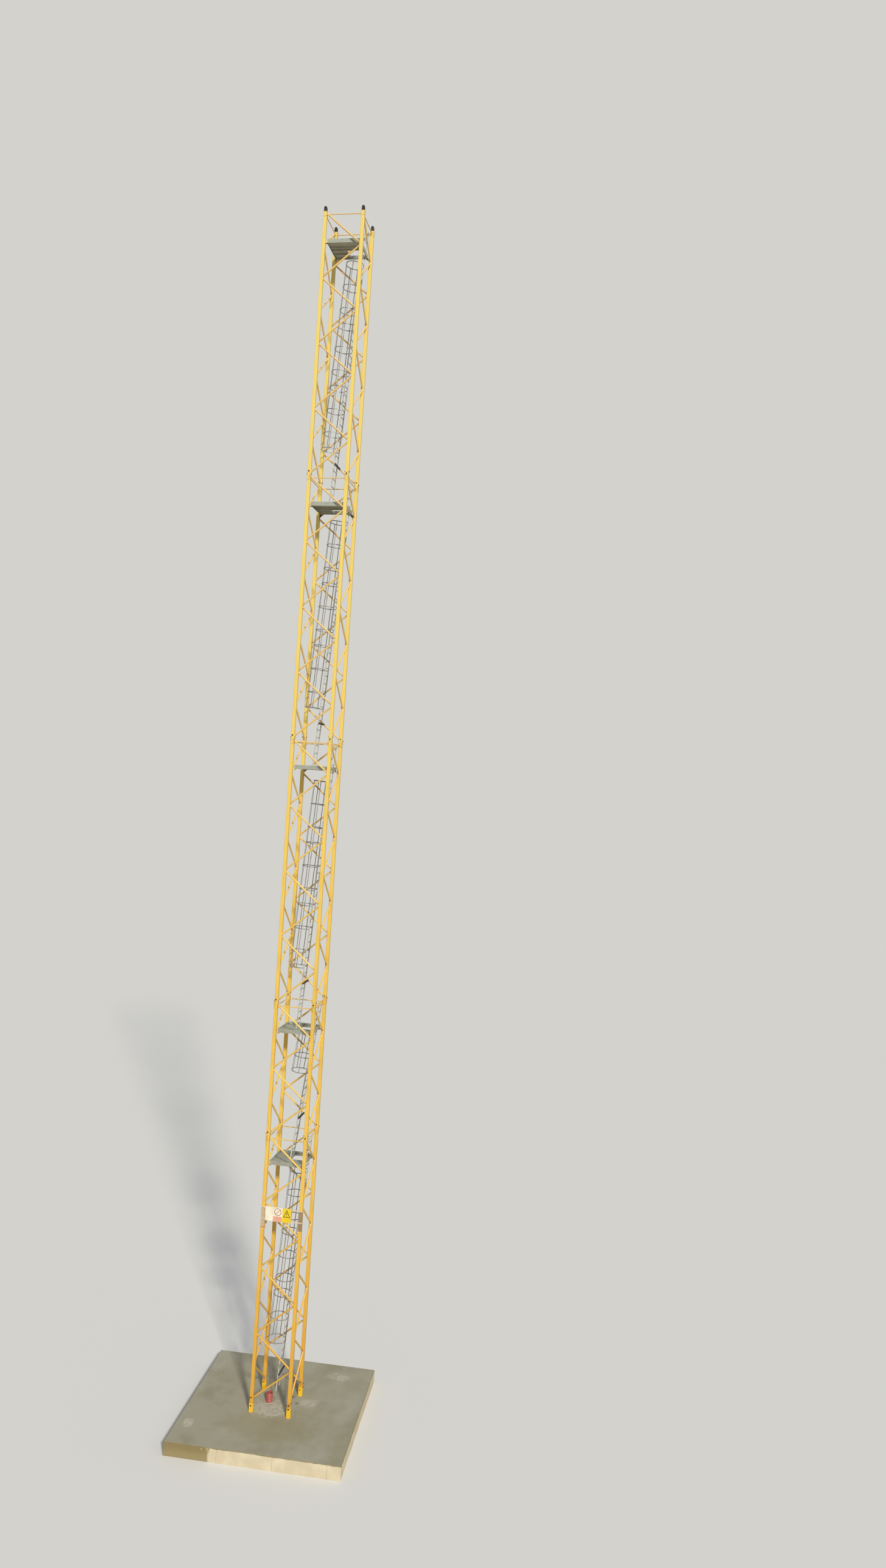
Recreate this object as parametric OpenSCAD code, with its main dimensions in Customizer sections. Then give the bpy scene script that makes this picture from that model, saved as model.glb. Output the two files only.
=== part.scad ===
// Tower crane mast on its foundation block, a 1:2 scale model.
// Five square lattice sections stand on four cast-in feet. Each section has a
// platform near its top, a leaning ladder and a safety cage round the climber.
// Millimetres at 1:2, +Z up, origin at the middle of the block's underside.
// The front faces -Y. Legs in turn: A front left, B front right, D back right,
// C back left.

/* [Foundation block] */
// Width of the concrete block, left to right
block_w = 3250; // [1600:10:4000]
// Length of the block, front to back
block_l = 3100; // [1600:10:4000]
// How far the block is turned against the mast, in degrees
block_turn = 2.5; // [-5:0.5:5]
// Height of the block above the pit floor
block_h = 260; // [220:10:600]
// How deep the feet and the duct are cast in
cast_depth = 150; // [60:5:200]
// Side of the chamfer round the block's top edge
block_bevel = 12; // [4:1:30]

/* [Mast] */
// Distance between leg centres
leg_spacing = 735; // [700:1:900]
// Outer side of a square leg tube
leg_w = 65; // [60:1:80]
// Wall of a leg tube
leg_wall = 5; // [3:0.5:8]
// Corner radius of a leg tube
leg_round = 6; // [2:0.5:10]
// Length of a long section
long_section = 5000; // [4200:10:6000]
// Length of the short section
short_section = 2500; // [2200:10:3200]

/* [Anchor feet] */
// How far a foot stands out past its leg, on each side
foot_over = 5.5; // [3:0.5:12]
// Height of a foot above the block
foot_h = 204; // [120:2:300]

/* [Leg joints] */
// Wall of the collar round the top of each leg
collar_t = 4; // [3:0.5:14]
// Height of the collar
collar_h = 90; // [50:1:140]
// Height of the spigot above its seat
spigot_up = 108; // [104:1:120]
// Depth of the spigot below its seat
spigot_down = 100; // [96:1:130]
// Width of the spigot's blunt tip
spigot_tip = 18; // [10:1:30]
// Diameter of a joint pin
pin_d = 20; // [14:1:22]
// Height of the lower pin of a pair over the joint
pin_low = 34; // [30:1:42]
// Height of the upper pin of a pair over the joint
pin_high = 75; // [70:1:76]
// How far a pin stands out of the leg
pin_out = 14; // [6:1:20]
// Diameter of a pin's head
pin_head_d = 28; // [24:1:32]
// Thickness of a pin's head
pin_head_t = 5; // [3:0.5:8]

/* [Lacing] */
// Diameter of a diagonal bar
brace_d = 32; // [24:1:40]
// Diagonals on each side of a long section, an even number
long_bays = 8; // [6:2:10]
// Diagonals on each side of the short section, an even number
short_bays = 4; // [4:2:6]
// Height of the first node above the section's lower end
node_bottom = 38; // [34:1:60]
// Depth of the last node below the section's upper end
node_top = 4; // [0:1:40]
// Diameter of the thin tie bar near each section's top
tie_d = 18; // [12:1:24]
// Depth of the tie bar below the section's upper end
tie_drop = 48; // [30:1:70]

/* [Platforms] */
// Gap between the platform's edge and the inner faces of the legs
platform_gap = 15; // [8:1:24]
// Depth of the deck's top below the section's upper end
platform_drop = 530; // [400:5:700]
// Thickness of the deck plate
deck_t = 5; // [3:0.5:8]
// Height of the toe board above the deck
toe_up = 45; // [20:1:80]
// Depth of the edge below the deck
edge_down = 25; // [15:1:40]
// Thickness of the edge plates and joists
edge_t = 4; // [3:0.5:8]
// Place of the first joist, as a share of the way from the middle to the edge
joist_y = 0.36; // [0.2:0.02:0.8]
// Gap between the hatch and the platform's right edge
hatch_margin = 14; // [9:1:24]
// Length of the hatch along the way that the ladder leans
hatch_l = 316; // [290:1:340]
// Width of the hatch along the ladder's rungs
hatch_w = 300; // [290:1:320]
// How far the lugs on the legs reach under the platform's corners
lug_seat = 19; // [10:1:30]
// Thickness of such a lug
lug_t = 12; // [6:1:20]

/* [Ladders] */
// Overall width of a ladder
ladder_w = 214; // [180:2:240]
// Gap between the ladder and the platform's back edge
ladder_back = 74; // [60:1:110]
// Gap between the ladder and the right edge of the hatch it passes through
ladder_clear = 7; // [4:1:30]
// Gap between a ladder's foot and the hatch, in the long upper sections
foot_gap = 54; // [6:1:90]
// The same gap in the base and short sections, where the ladder stands steeper
low_foot_gap = 7; // [4:1:40]
// How far a ladder runs on above the upper platform
ladder_over = 450; // [300:5:500]
// Depth of a ladder stile
stile_d = 22; // [16:1:28]
// Thickness of a ladder stile
stile_t = 8; // [5:0.5:12]
// Diameter of a rung
rung_d = 12; // [8:1:16]
// Distance between rungs
rung_pitch = 150; // [120:1:170]
// Height of the clamp bar that ties a ladder to the lacing
clamp_h = 30; // [20:1:40]
// Thickness of the clamp bar
clamp_t = 24; // [8:1:30]

/* [Safety cages] */
// Outer diameter of a hoop
hoop_d = 350; // [300:2:370]
// Height of a hoop's flat bar
hoop_h = 16; // [10:1:24]
// Thickness of a hoop's flat bar
hoop_t = 4; // [3:0.5:6]
// Width of an upright strip
strip_w = 14; // [8:1:20]
// Number of upright strips
strips = 5; // [3:1:7]
// Depth of a long cage's top hoop below the upper platform
hoop_drop = 250; // [100:5:400]
// Depth of the short cage's top hoop below its platform
short_hoop_drop = 108; // [60:2:300]
// Number of hoops on the base cage
base_hoops = 9; // [6:1:10]
// Number of hoops on the short cage
short_hoops = 3; // [2:1:4]
// Number of hoops on each other cage
other_hoops = 10; // [6:1:11]

/* [Warning board] */
// Width of the board
board_w = 507; // [400:1:560]
// Height of the board
board_h = 265; // [200:1:320]
// Thickness of the board
board_t = 3; // [2:0.5:6]
// Left edge of the board, from the mast axis
board_left = -319; // [-360:1:-200]
// Height of the board's lower edge above the base section's lower end
board_z = 3424; // [2000:1:3900]
// Height of a rail
rail_h = 22; // [14:1:30]
// Thickness of a rail
rail_t = 12; // [6:1:16]
// Distance between the two rails
rail_gap = 214; // [150:1:230]

/* [Cable duct] */
// Outer diameter of the duct over its ribs
duct_d = 128; // [90:1:160]
// Wall of the duct
duct_wall = 5; // [3:0.5:8]
// Height of the duct above the block
duct_h = 170; // [80:1:260]
// Ribs along the whole duct
duct_ribs = 14; // [6:1:20]
// Depth of a rib
rib_d = 6; // [3:0.5:8]
// Middle of the duct left of the mast axis
duct_x = -145; // [-190:1:-90]
// Middle of the duct behind the mast axis
duct_y = 20; // [-60:1:90]

/* [Fits] */
// Gap where a piece seats on another
seat_gap = 0.3; // [0.2:0.1:0.5]
// Gap round a pin in its hole
pin_gap = 0.3; // [0.2:0.1:0.5]

/* [Hidden] */

half = leg_spacing / 2;
inner_face = half - leg_w / 2;
foot_w = leg_w + 2 * foot_over;
collar_w = leg_w + 2 * collar_t;
platform_w = 2 * (inner_face - platform_gap);
hatch_right = platform_w / 2 - hatch_margin;
hatch_left = hatch_right - hatch_l;
ladder_y = platform_w / 2 - ladder_back - ladder_w / 2;
ladder_top_x = hatch_right - ladder_clear - stile_d / 2;
ladder_foot_x = hatch_left - foot_gap - stile_d / 2;
low_ladder_foot_x = hatch_left - low_foot_gap - stile_d / 2;
lug_reach = platform_gap + lug_seat;
rail_l = leg_spacing + leg_w;
base_z = block_h + foot_h;
short_z = base_z + long_section;
lower_z = short_z + short_section;
middle_z = lower_z + long_section;
top_z = middle_z + long_section;
mast_top = top_z + long_section;
spigot_w = leg_w - 2 * leg_wall - 2 * seat_gap;
hole_d = pin_d + 2 * pin_gap;
// How far a solid that cuts another runs on past its face
past = 1;
// Section starts that have a joint with a leg standing on it
joints = [base_z, short_z, lower_z, middle_z, top_z];
yellow = [0.90, 0.66, 0.13];
zinc = [0.62, 0.65, 0.64];
dark = [0.20, 0.18, 0.17];
cage_grey = [0.42, 0.43, 0.42];

// Helpers

// A square with round corners, about the origin
module round_square(w, r) {
  square([w, w - 2 * r], center = true);
  square([w - 2 * r, w], center = true);
  for (x = [-1, 1], y = [-1, 1])
    translate([x * (w / 2 - r), y * (w / 2 - r)]) circle(r, $fn = 32);
}

// Children at each leg in turn, turned so that every leg sees the same lacing
module each_leg() {
  for (k = [0:3]) rotate(90 * k) translate([-half, -half, 0]) children();
}

// A bar of few sides from point p to point q
module bar(p, q, d, sides) {
  v = q - p;
  l = norm(v);
  translate(p)
    rotate([0, acos(v[2] / l), atan2(v[1], v[0])])
      cylinder(h = l, d = d, $fn = sides);
}

// The crossed pin holes of one leg, from the joint at height z upward (s = 1)
// or downward (s = -1)
module pin_holes(z, s) {
  translate([0, 0, z + s * pin_low]) rotate([0, 90, 0])
    cylinder(h = 2 * foot_w, d = hole_d, center = true, $fn = 40);
  translate([0, 0, z + s * pin_high]) rotate([90, 0, 0])
    cylinder(h = 2 * foot_w, d = hole_d, center = true, $fn = 40);
}

// Mast pieces

module foundation_block() color([0.60, 0.57, 0.50]) difference() {
  // Two profiles cross, so that every side and its chamfer come out straight
  rotate(block_turn) intersection() {
    rotate([90, 0, 0])
      linear_extrude(2 * block_l, center = true) block_profile(block_w);
    rotate([90, 0, 90])
      linear_extrude(2 * block_w, center = true) block_profile(block_l);
  }
  each_leg() translate([0, 0, block_h - cast_depth])
    linear_extrude(cast_depth + past)
      square(foot_w + 2 * seat_gap, center = true);
  translate([duct_x, duct_y, block_h - cast_depth])
    cylinder(h = cast_depth + past, d = duct_d + 2 * seat_gap, $fn = 48);
}

module block_profile(w) polygon([
  [-w / 2, 0], [w / 2, 0],
  [w / 2, block_h - block_bevel], [w / 2 - block_bevel, block_h],
  [-w / 2 + block_bevel, block_h],
  [-w / 2, block_h - block_bevel]]);

module anchor_feet() color([0.95, 0.74, 0.16]) each_leg() difference() {
  translate([0, 0, block_h - cast_depth + seat_gap])
    linear_extrude(cast_depth + foot_h - seat_gap) difference() {
      round_square(foot_w, leg_round);
      square(spigot_w + 2 * seat_gap, center = true);
    }
  pin_holes(base_z, -1);
}

// Four leg tubes of one section, each with a collar round its top and a lug
// on its inner corner under the platform
module legs(z, l) color(yellow) each_leg() difference() {
  union() {
    translate([0, 0, z]) linear_extrude(l) round_square(leg_w, leg_round);
    translate([0, 0, z + l - collar_h])
      linear_extrude(collar_h) round_square(collar_w, leg_round);
    lug_z = z + l - platform_drop - deck_t - edge_down - seat_gap - lug_t;
    translate([leg_w / 4, leg_w / 4, lug_z])
      cube([leg_w / 4 + lug_reach, leg_w / 4 + lug_reach, lug_t]);
  }
  translate([0, 0, z - past])
    linear_extrude(l + 2 * past) square(leg_w - 2 * leg_wall, center = true);
  pin_holes(z, 1);
}

// One flat side of lacing: k = 0 front, 1 right, 2 back, 3 left. The bars
// start and end at the same leg, and stop at the faces of the legs.
module lacing(z, l, bays, k) color(yellow)
  rotate(90 * k) translate([0, -half, z]) difference() {
    step = (l - node_bottom - node_top) / bays;
    side = function(j) j % 2 == 0 ? -half : half;
    union() {
      for (j = [0:bays - 1])
        bar([side(j), 0, node_bottom + j * step],
            [side(j + 1), 0, node_bottom + (j + 1) * step], brace_d, 8);
      bar([-half, 0, l - tie_drop], [half, 0, l - tie_drop], tie_d, 8);
    }
    for (x = [-half, half]) {
      translate([x - leg_w / 2 - seat_gap, -leg_w, -brace_d])
        cube([leg_w + 2 * seat_gap, 2 * leg_w, l + 2 * brace_d]);
      translate([x - collar_w / 2 - seat_gap, -collar_w,
                 l - collar_h - seat_gap])
        cube([collar_w + 2 * seat_gap, 2 * collar_w, collar_h + brace_d]);
    }
  }

// A plain plate from one corner to the other, if there is room for it
module plate(p, q) if (min(q - p) > 0) translate(p) cube(q - p);

// A platform: four rim plates that are toe board and edge in one, joists
// across them, trimmers at the hatch, and four deck plates round the hatch
module platform(z, l) color(zinc) {
  top = z + l - platform_drop;
  out = platform_w / 2;
  in = out - edge_t;
  side = in - seat_gap;
  low = top - deck_t - edge_down;
  bed = top - deck_t - seat_gap;
  high = top + toe_up;
  y0 = ladder_y - hatch_w / 2;
  y1 = ladder_y + hatch_w / 2;
  for (s = [-1, 1]) {
    plate([-out, min(s * in, s * out), low],
          [out, max(s * in, s * out), high]);
    plate([min(s * in, s * out), -side, low],
          [max(s * in, s * out), side, high]);
  }
  for (y = [-joist_y * out, y0 - edge_t, y1])
    plate([-side, y, low], [side, min(y + edge_t, side), bed]);
  for (x = [hatch_left - edge_t, hatch_right])
    plate([x, y0 + seat_gap, low],
          [min(x + edge_t, side), y1 - seat_gap, bed]);
  plate([-side, ladder_y, low],
        [hatch_left - edge_t - seat_gap, ladder_y + edge_t, bed]);
  plate([-side, -side, top - deck_t], [hatch_left, side, top]);
  plate([hatch_left + seat_gap, -side, top - deck_t], [side, y0, top]);
  plate([hatch_left + seat_gap, y1, top - deck_t], [side, side, top]);
  plate([hatch_right, y0 + seat_gap, top - deck_t],
        [side, y1 - seat_gap, top]);
}

// Where the ladder is at height h above its foot, and its lean
function lean(x0, rise) = (ladder_top_x - x0) / rise;

// A ladder from x0 at height z0 up to the platform at z1, and on above it,
// with the clamp bar that ties it to the back lacing of the section at z
module ladder(x0, z0, z1, z, l, bays) {
  k = lean(x0, z1 - z0);
  angle = atan(k);
  long = (z1 - z0 + ladder_over) / cos(angle);
  color(zinc) difference() {
    translate([x0, ladder_y, z0]) rotate([0, angle, 0]) {
      for (s = [-1, 1])
        translate([-stile_d / 2, s * (ladder_w - stile_t) / 2 - stile_t / 2,
                   -stile_d])
          cube([stile_d, stile_t, long + stile_d]);
      for (h = [rung_pitch:rung_pitch:long - rung_d])
        translate([0, 0, h]) rotate([90, 0, 0])
          cylinder(h = ladder_w - stile_t, d = rung_d, center = true,
                   $fn = 8);
    }
    translate([x0 - ladder_w / 2, ladder_y - ladder_w, z0 - ladder_w])
      cube([ladder_w, 2 * ladder_w, ladder_w + seat_gap]);
  }
  // The first back diagonal runs from leg D down at the section's foot
  step = (l - node_bottom - node_top) / bays;
  slope = leg_spacing / step;
  off = (stile_d + clamp_t) / 2 / cos(angle) + seat_gap;
  h = (half + slope * node_bottom - x0 - off + k * (z0 - z)) / (k + slope);
  x = x0 + off + k * (z + h - z0);
  y0 = ladder_y - ladder_w / 2 - clamp_t;
  color(dark) translate([x - clamp_t / 2, y0, z + h - clamp_h / 2])
    cube([clamp_t, half - brace_d / 2 - seat_gap - y0, clamp_h]);
}

// A cage of flat hoops and upright strips in the ladder's leaning frame.
// Seen from the top hoop down, the hoops are three, three and two rungs apart
// and again; a phase starts the pattern later.
function hoop_steps(n) = n < 1 ? 0 : hoop_steps(n - 1)
  + ((n % 3 == 0) ? 2 : 3);

// Half of the arc of radius r that is left open on the ladder's side, for a
// hoop whose middle lies d in front of the stiles
function opening(r, d) = acos((d - seat_gap) / r);

function arc(r, a, n) = [for (i = [0:n])
  let (b = a + (360 - 2 * a) * i / n) [r * cos(b), r * sin(b)]];

function backwards(p) = [for (i = [len(p) - 1:-1:0]) p[i]];

module cage(x0, z0, z1, drop, phase, hoops) color(cage_grey) {
  angle = atan(lean(x0, z1 - z0));
  long = (z1 - z0) / cos(angle);
  top = long - drop;
  r = hoop_d / 2;
  mid = sqrt(pow(r, 2) - pow(ladder_w / 2, 2));
  down = function(i) rung_pitch * (hoop_steps(i + phase) - hoop_steps(phase));
  bottom = top - down(hoops - 1);
  open = opening(r, mid);
  translate([x0, ladder_y, z0]) rotate([0, angle, 0])
    translate([-stile_d / 2 - mid, 0, 0]) {
      for (i = [0:hoops - 1])
        translate([0, 0, top - down(i) - hoop_h / 2]) linear_extrude(hoop_h)
          polygon(concat(arc(r, open, 30),
                         backwards(arc(r - hoop_t, opening(r - hoop_t, mid),
                                       30))));
      for (i = [0:strips - 1])
        rotate(180 + (i - (strips - 1) / 2) * (360 - 2 * open)
               / (strips + 1))
          translate([r - 1.5 * hoop_t, -strip_w / 2, bottom - hoop_h / 4])
            cube([hoop_t, strip_w, top - bottom + hoop_h / 2]);
    }
}

// Joints

// Outline of the spigot's pointed part: straight, then rounded to a blunt tip
function nose(i, n) = let (a = 90 * i / n) [
  spigot_tip / 2 + (spigot_w - spigot_tip) / 2 * cos(a),
  spigot_up / 2 + (spigot_up / 2) * sin(a)];

module spigot_outline(down) polygon(concat(
  [[-spigot_w / 2, -down], [spigot_w / 2, -down]],
  [for (i = [0:6]) nose(i, 6)],
  [for (i = [6:-1:0]) [-nose(i, 6)[0], nose(i, 6)[1]]]));

module spigot(down) intersection() {
  rotate([90, 0, 0]) linear_extrude(2 * spigot_w, center = true)
    spigot_outline(down);
  rotate([90, 0, 90]) linear_extrude(2 * spigot_w, center = true)
    spigot_outline(down);
}

// Spigots inside the joints between the feet and the sections
module joint_spigots() color(dark) for (z = joints) each_leg()
  difference() {
    translate([0, 0, z]) spigot(spigot_down);
    pin_holes(z, 1);
    if (z == base_z) pin_holes(z, -1);
  }

// The four free spigots on top, ready for the next section
module top_spigots() color(dark) each_leg() difference() {
  translate([0, 0, mast_top]) spigot(spigot_down);
  pin_holes(mast_top, 1);
}

// One pin with a head, along X, through a leg of side w
module pin(w) {
  l = w + 2 * pin_out;
  rotate([0, 90, 0]) {
    cylinder(h = l, d = pin_d, center = true, $fn = 40);
    translate([0, 0, -l / 2]) cylinder(h = pin_head_t, d = pin_head_d,
                                       $fn = 40);
  }
}

module joint_pins() color(dark) {
  for (z = joints) each_leg() {
    translate([0, 0, z + pin_low]) pin(leg_w);
    translate([0, 0, z + pin_high]) rotate(90) pin(leg_w);
  }
  each_leg() {
    translate([0, 0, base_z - pin_low]) pin(foot_w);
    translate([0, 0, base_z - pin_high]) rotate(90) pin(foot_w);
  }
}

// Board and duct

module warning_board() {
  face = -half - leg_w / 2 - seat_gap;
  low = base_z + board_z + (board_h - rail_gap - rail_h) / 2;
  color([0.93, 0.90, 0.80])
    for (z = [low, low + rail_gap])
      translate([-rail_l / 2, face - rail_t, z])
        cube([rail_l, rail_t, rail_h]);
  color("white") translate([board_left, face - rail_t - seat_gap - board_t,
                            base_z + board_z])
    cube([board_w, board_t, board_h]);
}

module cable_duct() color([0.72, 0.22, 0.20])
  translate([duct_x, duct_y, block_h - cast_depth + seat_gap]) {
    long = cast_depth + duct_h - seat_gap;
    p = long / duct_ribs;
    r = duct_d / 2;
    rotate_extrude($fn = 64) polygon(concat(
      [[r - rib_d - duct_wall, 0]],
      [for (i = [0:duct_ribs - 1], c = [[0, 0], [0.15, 1], [0.6, 1],
                                        [0.75, 0]])
        [r - rib_d + rib_d * c[1], (i + c[0]) * p]],
      [[r - rib_d, long], [r - rib_d - duct_wall, long]]));
  }

// The five sections

base_deck = base_z + long_section - platform_drop;
short_deck = short_z + short_section - platform_drop;
lower_deck = lower_z + long_section - platform_drop;
middle_deck = middle_z + long_section - platform_drop;
top_deck = top_z + long_section - platform_drop;

module base_legs() legs(base_z, long_section);
module base_front_lacing() lacing(base_z, long_section, long_bays, 0);
module base_right_lacing() lacing(base_z, long_section, long_bays, 1);
module base_back_lacing() lacing(base_z, long_section, long_bays, 2);
module base_left_lacing() lacing(base_z, long_section, long_bays, 3);
module base_platform() platform(base_z, long_section);
module base_ladder() ladder(low_ladder_foot_x, base_z, base_deck, base_z,
                            long_section, long_bays);
module base_cage() cage(low_ladder_foot_x, base_z, base_deck,
  hoop_drop, 0, base_hoops);

module short_legs() legs(short_z, short_section);
module short_front_lacing() lacing(short_z, short_section, short_bays, 0);
module short_right_lacing() lacing(short_z, short_section, short_bays, 1);
module short_back_lacing() lacing(short_z, short_section, short_bays, 2);
module short_left_lacing() lacing(short_z, short_section, short_bays, 3);
module short_platform() platform(short_z, short_section);
module short_ladder() ladder(low_ladder_foot_x, base_deck, short_deck,
                             short_z, short_section, short_bays);
module short_cage() cage(low_ladder_foot_x, base_deck, short_deck,
  short_hoop_drop, 1, short_hoops);

module lower_legs() legs(lower_z, long_section);
module lower_front_lacing() lacing(lower_z, long_section, long_bays, 0);
module lower_right_lacing() lacing(lower_z, long_section, long_bays, 1);
module lower_back_lacing() lacing(lower_z, long_section, long_bays, 2);
module lower_left_lacing() lacing(lower_z, long_section, long_bays, 3);
module lower_platform() platform(lower_z, long_section);
module lower_ladder() ladder(ladder_foot_x, short_deck, lower_deck, lower_z,
                             long_section, long_bays);
module lower_cage() cage(ladder_foot_x, short_deck, lower_deck,
  hoop_drop, 0, other_hoops);

module middle_legs() legs(middle_z, long_section);
module middle_front_lacing() lacing(middle_z, long_section, long_bays, 0);
module middle_right_lacing() lacing(middle_z, long_section, long_bays, 1);
module middle_back_lacing() lacing(middle_z, long_section, long_bays, 2);
module middle_left_lacing() lacing(middle_z, long_section, long_bays, 3);
module middle_platform() platform(middle_z, long_section);
module middle_ladder() ladder(ladder_foot_x, lower_deck, middle_deck,
                              middle_z, long_section, long_bays);
module middle_cage() cage(ladder_foot_x, lower_deck, middle_deck,
  hoop_drop, 0, other_hoops);

module top_legs() legs(top_z, long_section);
module top_front_lacing() lacing(top_z, long_section, long_bays, 0);
module top_right_lacing() lacing(top_z, long_section, long_bays, 1);
module top_back_lacing() lacing(top_z, long_section, long_bays, 2);
module top_left_lacing() lacing(top_z, long_section, long_bays, 3);
module top_platform() platform(top_z, long_section);
module top_ladder() ladder(ladder_foot_x, middle_deck, top_deck, top_z,
                           long_section, long_bays);
module top_cage() cage(ladder_foot_x, middle_deck, top_deck,
  hoop_drop, 0, other_hoops);

foundation_block();
anchor_feet();
base_legs();
base_front_lacing();
base_right_lacing();
base_back_lacing();
base_left_lacing();
base_platform();
base_ladder();
base_cage();
short_legs();
short_front_lacing();
short_right_lacing();
short_back_lacing();
short_left_lacing();
short_platform();
short_ladder();
short_cage();
lower_legs();
lower_front_lacing();
lower_right_lacing();
lower_back_lacing();
lower_left_lacing();
lower_platform();
lower_ladder();
lower_cage();
middle_legs();
middle_front_lacing();
middle_right_lacing();
middle_back_lacing();
middle_left_lacing();
middle_platform();
middle_ladder();
middle_cage();
top_legs();
top_front_lacing();
top_right_lacing();
top_back_lacing();
top_left_lacing();
top_platform();
top_ladder();
top_cage();
joint_spigots();
top_spigots();
joint_pins();
warning_board();
cable_duct();
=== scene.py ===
# %% [markdown]
# # Tower crane mast, a 1:2 scale model
# Five square lattice sections stand on a concrete block. The CAD part is the
# fixed frame; this notebook dresses it: round bars with their welds, bolts,
# rivets, chequer plate, a ribbed duct, a board with plain signs, and paint,
# zinc and concrete that have weathered. Every number is in metres.

# %% Frame
import math

import bpy
import numpy as np
from mathutils import Matrix, Vector


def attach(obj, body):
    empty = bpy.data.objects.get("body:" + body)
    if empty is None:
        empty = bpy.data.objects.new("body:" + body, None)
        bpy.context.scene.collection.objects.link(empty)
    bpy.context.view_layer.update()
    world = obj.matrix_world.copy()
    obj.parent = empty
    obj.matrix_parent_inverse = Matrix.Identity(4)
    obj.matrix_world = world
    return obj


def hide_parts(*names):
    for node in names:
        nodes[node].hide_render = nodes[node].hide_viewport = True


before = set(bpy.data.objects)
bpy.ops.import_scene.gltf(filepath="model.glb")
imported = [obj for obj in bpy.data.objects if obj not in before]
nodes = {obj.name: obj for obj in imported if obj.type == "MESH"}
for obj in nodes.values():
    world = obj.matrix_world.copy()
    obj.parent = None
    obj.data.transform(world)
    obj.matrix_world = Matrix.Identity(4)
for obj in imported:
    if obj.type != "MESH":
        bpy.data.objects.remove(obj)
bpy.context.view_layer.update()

# %% [markdown]
# ## The mast's own measures
# The same sizes as in the CAD source, so that every added piece lands where
# the steel is. A section is given by its lower end, its length and its bays.

# %% Measures
HALF = 0.3675            # mast axis to a leg's middle
LEG_W = 0.065            # side of a leg tube
COLLAR_W = 0.073         # side of the collar at a leg's top
COLLAR_H = 0.090
BRACE_R = 0.016          # radius of a diagonal
TIE_R = 0.009            # and of the tie bar at a section's top
TIE_DROP = 0.048
NODE_BOTTOM = 0.038      # the lacing's first node over a section's foot
NODE_TOP = 0.004         # and its last one under the top
BLOCK_W = 3.25           # the block, left to right
BLOCK_L = 3.10           # and front to back
BLOCK_TURN = math.radians(2.5)
BLOCK_TOP = 0.26
FOOT_TOP = 0.464
FOOT_W = 0.076           # side of a cast-in foot
CORNER_R = 0.006         # corners of the tubes
PIN_LOW, PIN_HIGH = 0.034, 0.075     # the two pins, from a tube's end
DECK_DROP = 0.530        # from a section's top to its deck
DECK_W = 0.640           # side of a platform
SEAT = 0.0003            # the gap between pieces that touch
SECTIONS = {
    "base": (0.464, 5.0, 8), "short": (5.464, 2.5, 4),
    "lower": (7.964, 5.0, 8), "middle": (12.964, 5.0, 8),
    "top": (17.964, 5.0, 8),
}
JOINTS = np.array([z for z, _, _ in SECTIONS.values()])
TOPS = np.array([z + l for z, l, _ in SECTIONS.values()])
LEGS = HALF * np.array([(-1, -1), (1, -1), (1, 1), (-1, 1)], float)
DECKS = {s: z + l - DECK_DROP for s, (z, l, _) in SECTIONS.items()}
HATCH = np.array([-0.010, 0.306, -0.011, 0.289])   # x from, to, y from, to
LADDER_Y = 0.139
LADDER_W = 0.214
LADDER_TOP_X = 0.288     # every ladder leans to the right
STILE_D, STILE_T = 0.022, 0.008
CLAMP_T, CLAMP_H = 0.024, 0.030      # the bar behind each ladder
# each ladder: x of its foot, height of its foot, height of its deck
LADDERS = {section: (x, start, deck) for (section, deck), x, start in zip(
    DECKS.items(), (-0.028, -0.028, -0.075, -0.075, -0.075),
    [FOOT_TOP, *DECKS.values()])}
# each cage: where its rhythm of steps starts, number of hoops, and how far
# the top hoop is under the ladder's top
HOOPS = {"base": (0, 9, 0.25), "short": (1, 3, 0.108), "lower": (0, 10, 0.25),
         "middle": (0, 10, 0.25), "top": (0, 10, 0.25)}
print("decks at", DECKS)

# %% [markdown]
# ## Camera
# A lens keeps a fixed ratio between the width of what it sees and its
# distance. The place and turn were solved from the leg joints, so the model
# stands in the picture as the real mast does.

# %% Camera
def look(place, yaw, pitch, roll):
    """The camera's matrix: forward is turned from +Y by yaw about Z, then
    raised by pitch, and right and up are turned about it by roll."""
    forward = Vector((math.sin(yaw) * math.cos(pitch),
                      math.cos(yaw) * math.cos(pitch), math.sin(pitch)))
    level = Vector((math.cos(yaw), -math.sin(yaw), 0))
    rise = level.cross(forward)
    right = level * math.cos(roll) + rise * math.sin(roll)
    up = rise * math.cos(roll) - level * math.sin(roll)
    matrix = Matrix((right, up, -forward)).transposed().to_4x4()
    matrix.translation = place
    return matrix


def linked(name, data):
    """A new object in the scene."""
    obj = bpy.data.objects.new(name, data)
    scene.collection.objects.link(obj)
    return obj


scene = bpy.context.scene
camera = linked("camera", bpy.data.cameras.new("camera"))
camera.data.sensor_fit = "VERTICAL"
camera.data.sensor_height = 36
camera.data.lens = 36 * 1713 / 2576      # 1713 pixels, of a picture 2576 tall
camera.data.clip_end = 2000
camera.matrix_world = look((5.762, -19.323, 12.211), math.radians(-9.59),
                           math.radians(0.22), math.radians(3.53))
scene.camera = camera
print("lens", round(camera.data.lens, 2), "mm")

# %% [markdown]
# ## From arrays to meshes
# A shape is a grid of points: one way along it, one way round it. Copies are
# one more axis of the same array, so hundreds of bolts cost one call. The
# grid's ends are closed with a flat face each, so every shell is solid.

# %% Points and directions
X, Y, Z = np.eye(3)


def xyz(x, y, z):
    """Points from their coordinates, each a number or an array."""
    return np.stack(np.broadcast_arrays(x, y, z), -1).astype(float)


def unit(v):
    """Directions made one long."""
    return v / np.linalg.norm(v, axis=-1, keepdims=True)


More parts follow.
